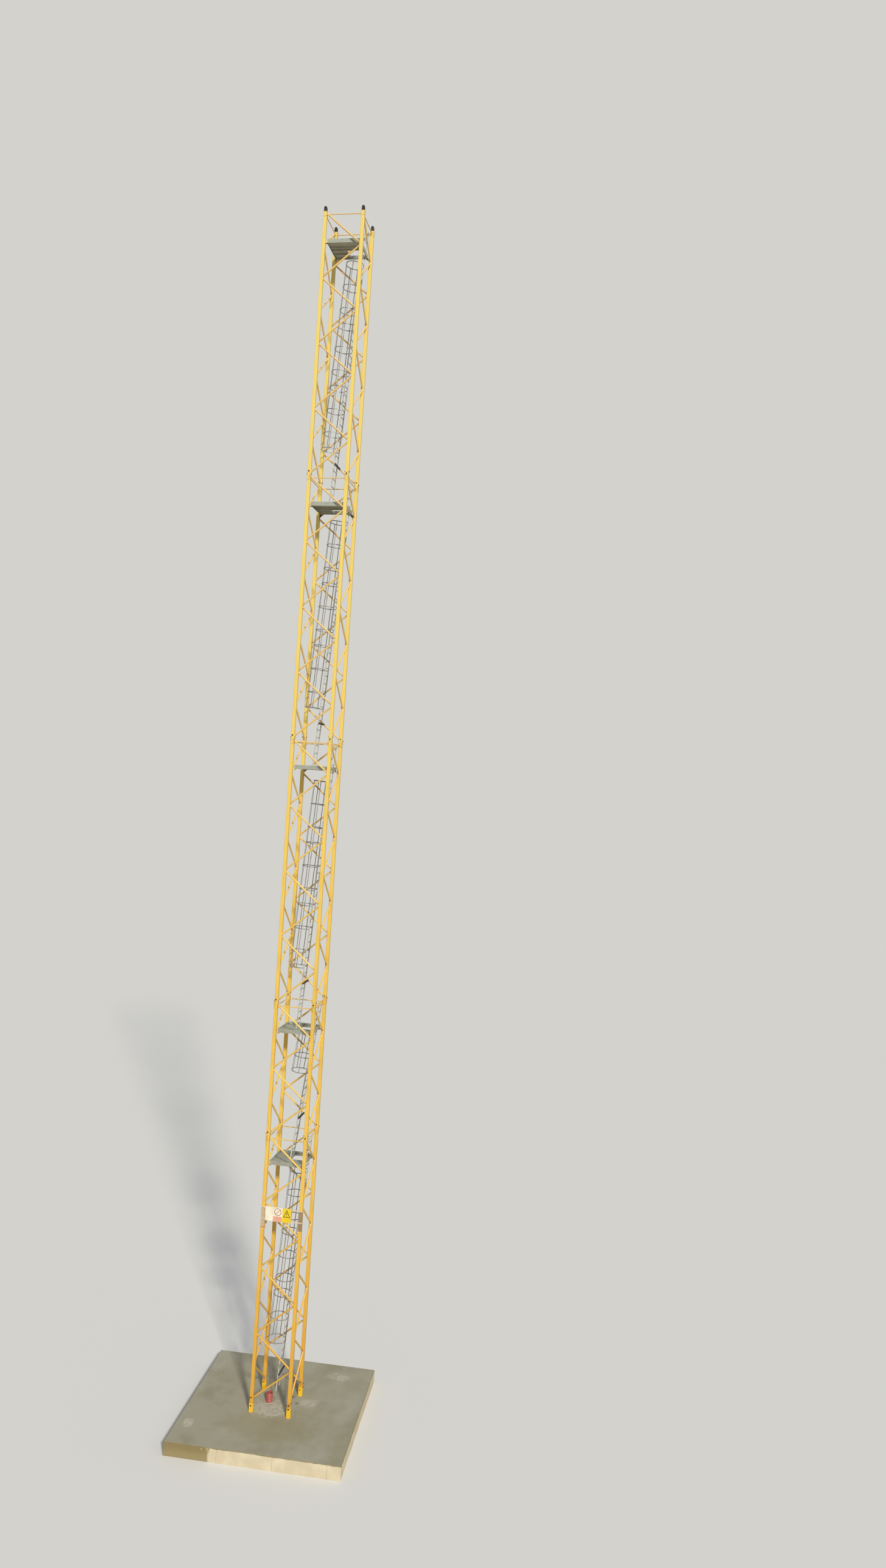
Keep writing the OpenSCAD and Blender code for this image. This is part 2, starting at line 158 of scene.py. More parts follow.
def angles(n):
    """n equal steps of a whole turn."""
    return 2 * np.pi * np.arange(n) / n


def circle(x, y, r, n, turn=1):
    """n points of a circle in a plane, clockwise if turn is -1."""
    a = turn * angles(n)
    return np.stack([x + r * np.cos(a), y + r * np.sin(a)], -1)


def across(axes):
    """Each axis and two directions square to it: the first is the axis
    crossed with the world direction that it leans on least."""
    axes = unit(axes)
    u = unit(np.cross(np.eye(3)[np.abs(axes).argmin(1)], axes))
    return axes, u, np.cross(axes, u)


# %% Mesh helpers
def grid_faces(n, m, closed=False):
    """Four-sided faces of n rings of m points, as numbers of points; closed
    joins the last ring to the first."""
    i = np.arange(n if closed else n - 1)[:, None]
    j = np.arange(m)
    a, b, c, d = (i * m + j, i * m + (j + 1) % m,
                  (i + 1) % n * m + (j + 1) % m, (i + 1) % n * m + j)
    return np.stack(np.broadcast_arrays(a, b, c, d), -1).reshape(-1, 4)


def mesh_object(name, points, faces):
    """An object in the scene from arrays of points and lists of faces."""
    mesh = bpy.data.meshes.new(name)
    mesh.from_pydata(points.reshape(-1, 3).tolist(), [], faces)
    mesh.update()
    return linked(name, mesh)


def piece(name, parts, material, smooth=True):
    """One object from parts, each (points, faces, caps): points is copies x
    grid x 3, faces the grid's faces, caps more faces of one copy."""
    points, polygons, start = [], [], 0
    for pts, faces, caps in parts:
        copies, each = pts.shape[:2]
        points.append(pts.reshape(-1, 3))
        shift = start + each * np.arange(copies)
        for kind in [faces] + caps:
            kind = np.atleast_2d(kind)
            found = kind[None] + shift[:, None, None]
            polygons += found.reshape(-1, kind.shape[1]).tolist()
        start += copies * each
    obj = mesh_object(name, np.concatenate(points), polygons)
    mesh = obj.data
    mesh.polygons.foreach_set("use_smooth", [smooth] * len(mesh.polygons))
    if smooth:
        mesh.set_sharp_from_angle(angle=math.radians(38))
    mesh.materials.append(material)
    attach(obj, "root")
    print(name, len(mesh.polygons), "faces")
    return obj


def rings(profiles, closed=False):
    """Copies x rings x sides x 3 points, with the grid's faces and a flat
    cap at each end, or none where the last ring meets the first."""
    copies, n, m, _ = profiles.shape
    caps = [] if closed else [np.arange(m)[::-1], np.arange(m) + (n - 1) * m]
    return (profiles.reshape(copies, n * m, 3),
            grid_faces(n, m, closed), caps)


def turned(places, axes, profile, sides, closed=False):
    """A turned piece at each place: point = place + height * axis + radius *
    (cos(angle) u + sin(angle) v), for each (radius, height) of profile. A
    closed profile makes a hollow ring, which needs no caps."""
    places = np.asarray(places, float)
    w, u, v = across(np.broadcast_to(axes, places.shape))
    r, h = np.asarray(profile, float).T[..., None, None]
    a = angles(sides)[:, None]
    ring = np.cos(a) * u[:, None, None] + np.sin(a) * v[:, None, None]
    return rings(places[:, None, None] + h * w[:, None, None] + r * ring,
                 closed)


def looped(point, out, up, outline):
    """outline[j] = (out, up) is carried round a closed path: point + out *
    direction + up * direction, at each point of the path."""
    o, u = np.asarray(outline, float).T[..., None]
    return rings(point[..., None, :] + o * out[..., None, :]
                 + u * up[..., None, :], closed=True)


def block(low, high):
    """Plain plates from low to high corners, one for each row."""
    low, high = np.atleast_2d(low), np.atleast_2d(high)
    corner = np.array([(x, y, z) for z in (0, 1)
                       for x, y in ((0, 0), (1, 0), (1, 1), (0, 1))])
    pts = low[:, None] + corner * (high - low)[:, None]
    return rings(pts.reshape(-1, 2, 4, 3))


# outlines of small turned parts: (radius, height)
BOLT = [(0.0, 0.0), (0.0115, 0.0), (0.0115, 0.0018), (0.0095, 0.0018),
        (0.0095, 0.0075), (0.008, 0.009), (0.0, 0.009)]
RIVET = [(0.006, 0.0), (0.006, 0.001), (0.0045, 0.003), (0.002, 0.004),
         (0.0005, 0.0042)]


def small_bolt(share):
    """The outline of a bolt, made smaller by the share."""
    return [(r * share, h * share) for r, h in BOLT[1:-1]]


# %% [markdown]
# ## Shared effects
# Paint, zinc and concrete all get dirty, so the dirt is made once. A node
# group is like a function: it has named inputs and outputs, and each
# material puts in its own values. The groups only work out colours, masks
# and heights. The shader itself stays in the material.
#
# A mask is arithmetic, which a long row of Math nodes hides. So what a node
# gives out is wrapped in a small class: its +, -, *, / and abs() put in the
# Math nodes, and a mask is written as its formula.

# %% Values and nodes
class Value:
    """What a node gives out; arithmetic on it adds Math nodes."""

    def __init__(self, socket):
        self.socket, self.tree = socket, socket.id_data

    def __add__(self, other):
        return maths("ADD", self, other)

    def __sub__(self, other):
        return maths("SUBTRACT", self, other)

    def __rsub__(self, other):
        return maths("SUBTRACT", other, self)

    def __mul__(self, other):
        return maths("MULTIPLY", self, other)

    def __truediv__(self, other):
        return maths("DIVIDE", self, other)

    def __abs__(self):
        return maths("ABSOLUTE", self)


def feed(socket, value):
    """Links a socket to a Value or another socket, or sets what it holds."""
    value = getattr(value, "socket", value)
    if isinstance(value, bpy.types.NodeSocket):
        socket.id_data.links.new(value, socket)
    else:
        socket.default_value = value


def put(tree, kind, inputs=(), **settings):
    """Adds a node, first its settings and then its inputs."""
    node = tree.nodes.new("ShaderNode" + kind)
    for key, value in settings.items():
        setattr(node, key, value)
    for key, value in dict(inputs).items():
        feed(node.inputs[key], value)
    return node


def result(tree, kind, inputs=(), out=0, **settings):
    """One output of a new node, as a Value."""
    return Value(put(tree, kind, inputs, **settings).outputs[out])


def maths(operation, *values, clamp=False):
    """A Math node's result; at least one of the values is a Value."""
    tree = next(v.tree for v in values if isinstance(v, Value))
    return result(tree, "Math", dict(enumerate(values)),
                  operation=operation, use_clamp=clamp)


def blend(share, first, second):
    """The colour first where share is 0, second where it is 1. A Mix node
    has sockets for every kind of data: 6, 7 and 2 are the colours."""
    return result(share.tree, "Mix", {0: share, 6: first, 7: second}, 2,
                  data_type="RGBA")


def ramp(value, low, high):
    """0 at low, 1 at high, and smooth between them."""
    return result(value.tree, "MapRange", {
        "Value": value, "From Min": low, "From Max": high},
        interpolation_type="SMOOTHSTEP")


def noise(at, scale, detail=4.0, rough=0.55, stretch=None):
    """Cloudy noise from 0 to 1; stretch scales the place first."""
    if stretch:
        at = result(at.tree, "Mapping", {"Vector": at, "Scale": stretch})
    return result(at.tree, "TexNoise", {
        "Vector": at, "Scale": scale, "Detail": detail, "Roughness": rough},
        "Fac")


def parts(at):
    """The x, y and z of a place."""
    return [Value(s) for s in put(at.tree, "SeparateXYZ", {0: at}).outputs]


def new_group(name, inputs, outputs):
    """An empty node group from the names and kinds of its sockets: its tree,
    its inputs as Values by name, and the node that takes its outputs."""
    tree = bpy.data.node_groups.new(name, "ShaderNodeTree")
    for direction, sockets in (("INPUT", inputs), ("OUTPUT", outputs)):
        for label, kind in sockets.items():
            tree.interface.new_socket(label, in_out=direction,
                                      socket_type="NodeSocket" + kind)
    into = tree.nodes.new("NodeGroupInput").outputs
    out = tree.nodes.new("NodeGroupOutput")
    return tree, {s.name: Value(s) for s in into if s.name}, out


# %% [markdown]
# ### Grime
# Rain washes dust down a mast. It leaves soft clouds, fine specks and long
# streaks that run down. Three noises do it: a broad one, a fine one, and one
# that is stretched along the height.

# %% Grime group
def grime_group():
    """Colour = base, mixed with the dirt colour by clouds and streaks, and
    with the speck colour where a fine noise is over its limit."""
    tree, into, out = new_group(
        "grime",
        {"Vector": "Vector", "Base": "Color", "Dirt": "Color",
         "Speck": "Color", "Clouds": "Float", "Streaks": "Float",
         "Specks": "Float", "Scale": "Float"},
        {"Color": "Color", "Dirt Mask": "Float", "Height": "Float"})
    at = result(tree, "VectorMath", {
        0: into["Vector"], "Scale": into["Scale"]}, operation="SCALE")
    cloud = ramp(noise(at, 2.2, 5.0), 0.42, 0.72)
    streak = ramp(noise(at, 9.0, 4.0, 0.6, (3.0, 3.0, 0.16)), 0.50, 0.74)
    speck = ramp(noise(at, 55.0, 3.0, 0.6), 0.66, 0.72)
    mask = maths("MAXIMUM", cloud * into["Clouds"],
                 streak * into["Streaks"], clamp=True)
    speck = maths("MULTIPLY", speck, into["Specks"], clamp=True)
    colour = blend(speck, blend(mask, into["Base"], into["Dirt"]),
                   into["Speck"])
    feed(out.inputs["Color"], colour)
    feed(out.inputs["Dirt Mask"], mask)
    feed(out.inputs["Height"], cloud - speck)
    return tree


# %% [markdown]
# ### Worn leg corners
# Paint wears off a square tube at its four corners first. The legs stand at
# the same distance from the axis, so the distance of a point to the nearest
# leg corner follows from its place alone: fold x and y to one leg with an
# absolute value, and look how close both are to the tube's faces.

# %% Corner group
def corner_group():
    """Mask = how near the smaller of |x - leg| and |y - leg| is to half the
    tube's side, broken up with noise."""
    tree, into, out = new_group(
        "leg_corners", {"Vector": "Vector", "Side": "Float",
                        "Width": "Float"}, {"Mask": "Float"})
    at = into["Vector"]
    inner = maths("MINIMUM", *(abs(abs(v) - HALF) for v in parts(at)[:2]))
    worn = 1.55 - (into["Side"] * 0.5 - inner) / into["Width"]
    feed(out.inputs["Mask"],
         ramp(worn * noise(at, 24.0, 5.0, 0.65), 0.62, 0.86))
    return tree


GRIME, CORNERS = grime_group(), corner_group()
print("groups:", GRIME.name, CORNERS.name)

# %% [markdown]
# ## Finishes
# Each finish starts with the same few nodes: the place on the object, the
# grime group and a Principled shader. What makes it paint, zinc or concrete
# is added in its own cell.

# %% Base of a finish
def opened(material):
    """A material's shader, and the place on the object."""
    tree = material.node_tree
    return (tree.nodes["Principled BSDF"],
            result(tree, "TexCoord", out="Object"))


def finish(name, base, dirt, speck, clouds, streaks, specks, scale=1.0,
           metal=0.0, rough=0.5, bump=0.15, bump_depth=0.001):
    """A material with grime on its colour, its shader, the place on the
    object and the Bump node, so that a cell can put more on it."""
    material = bpy.data.materials.new(name)
    material.use_nodes = True
    shader, at = opened(material)
    tree = material.node_tree
    grime = put(tree, "Group", {
        "Vector": at, "Base": (*base, 1), "Dirt": (*dirt, 1),
        "Speck": (*speck, 1), "Clouds": clouds, "Streaks": streaks,
        "Specks": specks, "Scale": scale}, node_tree=GRIME).outputs
    rougher = result(tree, "MapRange", {
        "Value": grime["Dirt Mask"], "To Min": rough,
        "To Max": min(rough + 0.3, 1.0)})
    relief = put(tree, "Bump", {"Strength": bump, "Distance": bump_depth,
                                "Height": grime["Height"]})
    for key, value in (("Base Color", grime["Color"]), ("Metallic", metal),
                       ("Roughness", rougher),
                       ("Normal", relief.outputs["Normal"])):
        feed(shader.inputs[key], value)
    return material, shader, at, relief


def recolour(shader, share, colour):
    """Mixes a colour over what the shader has, by share."""
    target = shader.inputs["Base Color"]
    if not isinstance(colour, Value):
        colour = (*colour, 1)
    feed(target, blend(share, target.links[0].from_socket, colour))


def heighten(relief, more):
    """Adds to the height that a Bump node has."""
    target = relief.inputs["Height"]
    feed(target, Value(target.links[0].from_socket) + more)


# %% [markdown]
# ### Yellow paint
# Warm chrome yellow, thick and a little orange-peeled. It is a paler gold
# higher up and darker and more orange towards the ground; on the bars the tone
# high up is a peach orange, painted highlight and shade of the sunlit lacing.
# It rubs off at the corners to a brown primer, and runs dark under the pins of
# each joint.

# %% Yellow paint
def yellow_paint(name, base, low_tone, high_tone, side, runs_share):
    """Paint whose tone goes from low_tone to high_tone up the mast. side is
    that of the tubes whose corners are worn, or None for the bars."""
    material, shader, at, relief = finish(
        name, base, (0.42, 0.22, 0.045), (0.20, 0.12, 0.06), 0.26, 0.36,
        0.50, rough=0.34, bump=0.25, bump_depth=0.0008)
    x, y, z = parts(at)
    # paler higher up; on the bars this tone is painted highlight and shade
    recolour(shader, ramp(z, 7.0, 17.0) * 0.75, high_tone)
    # darker and more orange towards the ground
    low = ramp(z + noise(at, 0.8) * 2.0, 7.0, 1.2)
    recolour(shader, low * 0.72, low_tone)
    # dark runs: how far a point is under each joint
    for joint in JOINTS[1:]:
        under = float(joint) - z
        near = ramp(under, 0.34, 0.0) * ramp(under, -0.09, -0.07)
        runs = ramp(noise(at, 30.0, 4.0, 0.6, (1, 1, 0.14)), 0.46, 0.74)
        recolour(shader, near * runs * runs_share, (0.20, 0.115, 0.045))
    # dirt kicked up round the lowest joint, above the feet
    splash = (ramp(z, 0.66, 0.46) * ramp(z, 0.42, 0.44)
              * ramp(noise(at, 13.0, 5.0, 0.65), 0.36, 0.66))
    recolour(shader, splash * 0.62, (0.27, 0.135, 0.045))
    if side:
        worn = result(at.tree, "Group", {
            "Vector": at, "Side": side, "Width": CORNER_R}, "Mask",
            node_tree=CORNERS)
        recolour(shader, worn * 0.8, (0.21, 0.12, 0.07))
    else:
        # a bar is dirty where it meets a leg: how far is the leg's axis
        off = maths("MAXIMUM", *(abs(abs(v) - HALF) for v in (x, y)))
        ends = ramp(off, 0.15, 0.03) * ramp(
            noise(at, 15.0, 5.0, 0.65), 0.42, 0.62)
        recolour(shader, ends * 0.55, (0.38, 0.19, 0.05))
    heighten(relief, noise(at, 420.0, 2.0) * 0.35)
    shader.inputs["Coat Weight"].default_value = 0.25
    shader.inputs["Coat Roughness"].default_value = 0.22
    return material


paint = yellow_paint("yellow_paint", (0.91, 0.60, 0.105),
                     (0.72, 0.36, 0.035), (0.90, 0.73, 0.20), LEG_W, 0.45)
# the bars' tone high up is painted highlight and shade of the sunlit lacing
bar_paint = yellow_paint("bar_paint", (0.92, 0.61, 0.115),
                         (0.74, 0.38, 0.045), (0.90, 0.62, 0.23), None, 0.10)
feet_paint = yellow_paint("feet_paint", (0.92, 0.58, 0.02),
                          (0.92, 0.56, 0.02), (0.92, 0.58, 0.02), FOOT_W, 0.0)
shader, at = opened(feet_paint)
upper = ramp(parts(at)[2], 0.424, 0.432)    # each foot is darker at its top
recolour(shader, upper, (0.72, 0.38, 0.040))
print("paints ready")

# %% [markdown]
# ### Zinc and dark steel
# Hot-dip zinc freezes in crystals, which show as patches of lighter and
# darker grey with straight edges. A Voronoi texture has just such cells.
# The ladders are the palest, the cages are older and darker, and the pins
# and spigots are bare steel with oil and rust.

# %% Zinc and steel
def zinc_finish(name, base, dirt, spangle, metal, rough):
    """Grey metal with crystals of a lighter tone, by the share spangle."""
    material, shader, at, _ = finish(
        name, base, dirt, (0.25, 0.15, 0.09), 0.55, 0.45, 0.35, metal=metal,
        rough=rough, bump=0.2, bump_depth=0.0006)
    cells = result(at.tree, "TexVoronoi", {"Vector": at, "Scale": 48.0},
                   "Color")
    tone = result(at.tree, "SeparateColor", {0: cells})
    recolour(shader, tone * spangle, [min(1.0, 1.45 * c) for c in base])
    return material


def steel_finish(name, base, rust):
    """Dark metal with patches of rust."""
    material, shader, at, _ = finish(
        name, base, (0.035, 0.03, 0.027), rust, 0.6, 0.5, 0.8, scale=2.0,
        metal=0.55, rough=0.42, bump=0.3, bump_depth=0.0006)
    patches = ramp(noise(at, 19.0, 6.0, 0.7), 0.52, 0.68)
    recolour(shader, patches * 0.7, rust)
    return material


zinc = zinc_finish("galvanised_steel", (0.46, 0.49, 0.425),
                   (0.23, 0.22, 0.165), 0.32, 0.45, 0.46)
ladder_zinc = zinc_finish("ladder_steel", (0.62, 0.64, 0.60),
                          (0.30, 0.28, 0.23), 0.30, 0.35, 0.5)
cage_zinc = zinc_finish("cage_steel", (0.35, 0.36, 0.345),
                        (0.17, 0.155, 0.13), 0.40, 0.45, 0.5)
dark = steel_finish("dark_steel", (0.075, 0.066, 0.06), (0.17, 0.075, 0.035))
pin_steel = steel_finish("pin_steel", (0.19, 0.12, 0.065), (0.27, 0.13, 0.05))
print("metals ready")

# %% [markdown]
# A dark clamp bar ties each ladder to the lacing behind it. In the CAD it
# belongs to the ladder, so the ladder's finish gets a dark zone: a box round
# the bar, worked out from the lean of the ladder and the slope of the lacing.
# The rungs between the stiles are dark too: painted shade and grease.

# %% Clamp bars
def clamp_at(section):
    """The x and z of a clamp bar's middle: where the ladder's back, which
    leans by k, meets the back diagonal, which falls by the slope."""
    z, length, bays = SECTIONS[section]
    x0, z0, z1 = LADDERS[section]
    k = (LADDER_TOP_X - x0) / (z1 - z0)
    slope = 2 * HALF * bays / (length - NODE_BOTTOM - NODE_TOP)
    off = (STILE_D + CLAMP_T) / 2 * math.sqrt(1 + k * k) + SEAT
    h = (HALF + slope * NODE_BOTTOM - x0 - off + k * (z0 - z)) / (k + slope)
    return x0 + off + k * (z + h - z0), z + h


shader, at = opened(ladder_zinc)
x, y, z = parts(at)
# the rungs between the stiles get painted shade and grease, broken up by noise
rung_shade_and_grease = ramp(noise(at, 22.0, 4.0, 0.6), 0.28, 0.52)
reach = LADDER_W / 2 - STILE_T              # from the middle to a stile
recolour(shader, rung_shade_and_grease * 0.85 * ramp(
    abs(y - LADDER_Y), reach - 0.0004, reach - 0.0030), (0.150, 0.130, 0.100))
for section in SECTIONS:
    clamp_x, clamp_z = clamp_at(section)
    front = clamp_x - CLAMP_T / 2
    inside = ramp(abs(z - clamp_z), CLAMP_H / 2 + 0.001, CLAMP_H / 2) * ramp(
        x, front - 0.0003, front)
    recolour(shader, inside, (0.085, 0.075, 0.060))
print("clamp bars at", [tuple(round(v, 3) for v in clamp_at(s))
                        for s in SECTIONS])

# %% [markdown]
# ### Concrete
# The top was floated by hand: broad grey-green clouds, pale swirls, and a
# crust of dried mortar in the middle. The sides were cast against boards:
# cream where the film of cement is whole, olive where it is wet or gone, and
# painted shade along the top edge. The faces are told apart by the place of a
# point.

# %% Concrete
# ovals on the block's top: middle x and y, half widths, raggedness
OLIVE = (0.05, -0.78, 0.95, 0.42, 0.9)
DUST = [(-0.06, -0.20, 0.44, 0.32, 1.1), (0.61, 0.12, 0.20, 0.16, 1.3),
        (0.98, 1.14, 0.23, 0.17, 1.3), (-1.39, -0.95, 0.10, 0.16, 1.2)]
STAINS = [(0.385, 0.075, 0.040, 0.035, 0.6), (0.25, 0.26, 0.06, 0.05, 1.0)]
SEAMS = (-0.63, 0.39, 1.38)                 # x where two boards met


def concrete_finish():
    """Concrete whose top and sides differ; the place is turned back by the
    block's turn first, so that its faces are square to x and y."""
    material, shader, at, relief = finish(
        "concrete", (0.365, 0.342, 0.250), (0.285, 0.262, 0.172),
        (0.46, 0.43, 0.35), 0.70, 0.0, 0.35, scale=0.9, rough=0.82,
        bump=0.35, bump_depth=0.004)
    x, y, z = parts(result(at.tree, "VectorRotate", {
        "Vector": at, "Angle": -BLOCK_TURN}, rotation_type="Z_AXIS"))

    def spot(cx, cy, rx, ry, soft):
        """1 in an oval round a place, 0 past it, with a ragged rim."""
        u, v = (x - cx) / rx, (y - cy) / ry
        far = maths("SQRT", u * u + v * v)
        return ramp(far + noise(at, 6.0, 6.0, 0.65) * soft,
                    1.0 + 0.62 * soft, 1.0)

    # broad pale float marks on the top, and green-brown damp
    swirl = ramp(noise(at, 1.3, 7.0, 0.66, (0.9, 0.6, 1.0)), 0.46, 0.70)
    recolour(shader, swirl * 0.55, (0.43, 0.41, 0.335))
    damp = ramp(noise(at, 0.75, 4.0, 0.5), 0.52, 0.64)
    recolour(shader, damp * 0.34, (0.27, 0.245, 0.140))
    # in front of the mast the block dried last
    recolour(shader, spot(*OLIVE) * 0.40, (0.285, 0.245, 0.135))
    # dried mortar round the duct and in three loose patches, and stains
    flecks = ramp(noise(at, 17.0, 6.0, 0.7), 0.36, 0.58)
    for oval in DUST:
        recolour(shader, spot(*oval) * flecks * 0.66, (0.58, 0.545, 0.45))
    for oval in STAINS:
        recolour(shader, spot(*oval) * 0.55, (0.12, 0.10, 0.06))
    # small dark grit
    grit = ramp(noise(at, 34.0, 2.0, 0.5), 0.72, 0.76)
    recolour(shader, grit * 0.6, (0.10, 0.085, 0.06))
    # the sides: cream film, with a ragged start at the left of the front
    flank = maths("MAXIMUM", abs(x) - BLOCK_W / 2, abs(y) - BLOCK_L / 2)
    ragged = noise(at, 7.0, 5.0, 0.6)
    film = ramp(x + ragged * 0.5, -0.62, -0.52) * ramp(
        z + ragged * 0.05, 0.278, 0.262)
    olive = blend(ramp(z + ragged * 0.12, 0.10, 0.27),
                  (0.335, 0.27, 0.135, 1), (0.27, 0.215, 0.098, 1))
    cream = blend(ramp(noise(at, 3.2, 5.0), 0.4, 0.7),
                  (0.66, 0.58, 0.40, 1), (0.77, 0.69, 0.50, 1))
    wall = blend(film, olive, cream)
    # where two boards met: thin dark lines up the sides
    for seam in SEAMS:
        line = abs(x + noise(at, 12.0) * 0.02 - seam)
        wall = blend(ramp(line, 0.009, 0.002) * 0.35, wall,
                     (0.32, 0.26, 0.15, 1))
    recolour(shader, ramp(flank, -0.004, -0.002), wall)
    # painted shade on the chamfer along the top edge, broken up by noise
    painted_chamfer_shade = ramp(flank, -0.014, -0.010) * ramp(z, 0.244, 0.248)
    recolour(shader, painted_chamfer_shade * (ragged * 0.7 + 0.25), (0.20, 0.172, 0.092))
    heighten(relief, noise(at, 160.0, 3.0) * 0.4)
    return material


concrete = concrete_finish()
mortar = finish(
    "dried_mortar", (0.47, 0.44, 0.35), (0.36, 0.33, 0.24),
    (0.58, 0.55, 0.46), 0.9, 0.0, 0.7, scale=5.0, rough=0.9, bump=0.5,
    bump_depth=0.003)[0]
print("concrete ready")

# %% [markdown]
# ### Enamel and plastic
# The board is stove enamel on sheet: smooth, slightly glossy, yellowed at
# its edges. The duct is red polyethylene that the sun has bleached.

# %% Enamel and plastic
def sheet_finish(name, base, dirt=(0.45, 0.38, 0.26), rough=0.32):
    """A smooth coat with a little dirt."""
    return finish(name, base, dirt, (0.35, 0.26, 0.17), 0.30, 0.35, 0.35,
                  scale=3.0, rough=rough, bump=0.08,
                  bump_depth=0.0004)[0]


enamel = sheet_finish("board_enamel", (0.78, 0.64, 0.47))
sign_white = sheet_finish("sign_white", (0.96, 0.92, 0.75))
sign_red = sheet_finish("sign_red", (0.38, 0.075, 0.06), (0.30, 0.12, 0.09))
sign_pink = sheet_finish("sign_pink", (0.86, 0.43, 0.30), (0.66, 0.34, 0.22))
sign_yellow = sheet_finish("sign_yellow", (0.93, 0.68, 0.012),
                           (0.62, 0.40, 0.02))
sign_black = sheet_finish("sign_black", (0.055, 0.045, 0.03),
                          (0.13, 0.10, 0.05))
red_plastic = sheet_finish("red_plastic", (0.43, 0.098, 0.086),
                           (0.46, 0.17, 0.15), 0.46)
strap_red = sheet_finish("strap_red", (0.62, 0.20, 0.07))
post_left = sheet_finish("post_left", (0.60, 0.48, 0.29), (0.54, 0.32, 0.12))
post_right = sheet_finish("post_right", (0.33, 0.225, 0.12))
print("enamels ready")

# %% [markdown]
# ## The CAD steel gets its finish
# The legs, platforms, ladders, cages, spigots and pins are right as they
# are. They only swap the plain colour of the CAD for a real finish.

# %% Finishes of the CAD nodes
def finish_of(name):
    """The finish of a CAD node, by the last word of its name."""
    kind = name.split("_")[-1]
    return {"legs": paint, "lacing": bar_paint, "feet": feet_paint,
            "platform": zinc, "ladder": ladder_zinc, "cage": cage_zinc,
            "spigots": dark, "pins": pin_steel, "block": concrete,
            "board": enamel, "duct": red_plastic}[kind]


for name, obj in nodes.items():
    obj.data.materials.clear()
    obj.data.materials.append(finish_of(name))
print("finished", len(nodes), "CAD nodes")

# %% [markdown]
# ## Round lacing bars with their welds
# A diagonal is a round tube that is cut to the face of the leg and welded
# all round. The CAD has it with eight flat sides. Here each bar is one
# surface of two parameters: the angle round the bar and the way along it.
# Each line along the bar is cut where it meets the leg, so the end comes out
# as the right slanted oval, and the radius swells there into a weld bead.

# %% Lacing bars
SIDES = 24
BEAD = np.array([(0.0, 0.0045), (0.0012, 0.0043), (0.003, 0.0030),
                 (0.0048, 0.0012), (0.006, 0.0)])   # way along, extra radius


def bars(start, end, radius, cut_start, cut_end):
    """Tubes in the plane y = -HALF. For the angle a and the way s: start +
    s * direction + radius * (cos(a) n - sin(a) Y), with s from the plane x =
    cut_start to the plane x = cut_end, and a bead at both ends."""
    start, end = np.asarray(start, float), np.asarray(end, float)
    d = unit(end - start)
    n = xyz(-d[:, 2], 0, d[:, 0])
    a = angles(SIDES)[:, None]
    way = np.concatenate([BEAD[:, 0], -BEAD[::-1, 0]])
    r = radius + np.concatenate([BEAD[:, 1], BEAD[::-1, 1]])
    off = r[:, None, None] * (np.cos(a) * n[:, None, None] - np.sin(a) * Y)
    cut = np.where(np.arange(len(r)) < len(BEAD), cut_start[:, None],
                   cut_end[:, None])
    s = ((cut[:, :, None] - start[:, None, None, 0] - off[..., 0])
         / d[:, None, None, 0]) + way[:, None]
    return rings(start[:, None, None] + s[..., None] * d[:, None, None] + off)


def quarter(points, k):
    """Turns points from the front side to side k, a quarter turn each."""
    c, s = [(1, 0), (0, 1), (-1, 0), (0, -1)][k]
    x, y, z = np.moveaxis(points, -1, 0)
    return xyz(c * x - s * y, s * x + c * y, z)


FACE = HALF - LEG_W / 2 - SEAT
COLLAR_FACE = HALF - COLLAR_W / 2 - SEAT
for section, (z, length, bays) in SECTIONS.items():
    j = np.arange(bays + 1)
    step = (length - NODE_BOTTOM - NODE_TOP) / bays
    knots = xyz(np.where(j % 2 == 0, -HALF, HALF), -HALF,
                z + NODE_BOTTOM + j * step)
    sign = np.sign(knots[:-1, 0])
    ends_high = np.where(j[1:] == bays, COLLAR_FACE, FACE)
    diagonals = bars(knots[:-1], knots[1:], BRACE_R, sign * FACE,
                     -sign * ends_high)
    tie_z = z + length - TIE_DROP
    tie = bars([(-HALF, -HALF, tie_z)], [(HALF, -HALF, tie_z)], TIE_R,
               np.array([-COLLAR_FACE]), np.array([COLLAR_FACE]))
    for k, side in enumerate(("front", "right", "back", "left")):
        made = [(quarter(p, k), f, c) for p, f, c in (diagonals, tie)]
        obj = piece(f"{section}_{side}_bars", made, bar_paint)
        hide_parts(f"{section}_{side}_lacing")

# %% [markdown]
# ## Collars, bosses and clips
# Each leg ends in a collar that is welded on. Two pins cross every joint;
# round each pin the leg has a turned boss, and a spring clip keeps the pin
# in. The bead round a collar is a small outline carried along a square with
# round corners, all four legs and all joints in one array.

# %% Leg details
def square_path(w, r, n=8):
    """Points and outward directions round a square of side w with corners
    of radius r, n points to a corner."""
    q = np.arange(4)[:, None] * np.pi / 2
    angle = (q + np.linspace(0, np.pi / 2, n)).ravel()
    out = xyz(np.cos(angle), np.sin(angle), 0)
    q = q.ravel() + np.pi / 4
    centre = (w / 2 - r) * np.sqrt(2) * xyz(np.cos(q), np.sin(q), 0)
    return np.repeat(centre, n, 0) + r * out, out


def bands(w, places, outline):
    """An outline (out, up) carried round a square of side w at each place."""
    path, out = square_path(w, CORNER_R)
    return looped(np.asarray(places, float)[:, None] + path, out, Z, outline)


def at_legs(heights):
    """Every leg's middle at every height."""
    return np.concatenate([xyz(x, y, heights) for x, y in LEGS])


